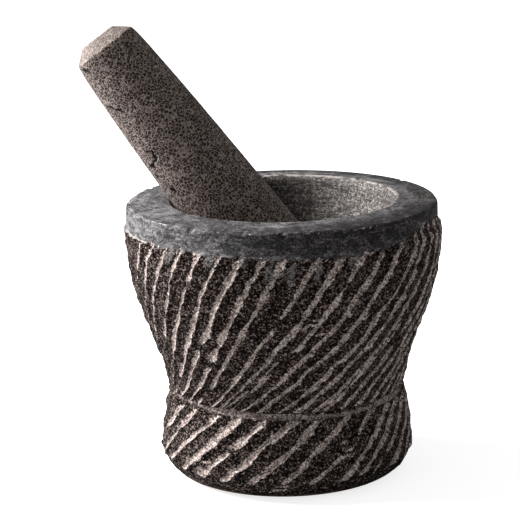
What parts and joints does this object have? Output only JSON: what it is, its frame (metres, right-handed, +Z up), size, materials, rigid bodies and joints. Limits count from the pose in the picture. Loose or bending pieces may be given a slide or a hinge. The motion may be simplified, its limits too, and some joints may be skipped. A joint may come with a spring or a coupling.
{
  "type": "molcajete",
  "caption": "Footed granite mortar with a smooth ground rim, slanting chiselled flutes and a waist groove, and a loose tapered pestle that leans in its bowl.",
  "frame": {"origin": "centre of the flat base, on the plane it rests on", "axes": "+Z up along the axis the mortar is turned about, +X to the right seen from the front, +Y away from the viewer; the pestle's handle leans towards -X and slightly towards +Y"},
  "size_m": [0.1876, 0.1664, 0.2382],
  "materials": {
    "fluted_granite": "matte",
    "ground_granite": "matte"
  },
  "bodies": {
    "mortar": {"mortar": "fluted_granite"},
    "pestle": {"pestle": "ground_granite"}
  },
  "joints": [
    {"name": "pestle_lift", "type": "slide", "parent": "mortar", "child": "pestle", "axis": [0, 0, 1], "range_m": [0, 0.1]}
  ]
}
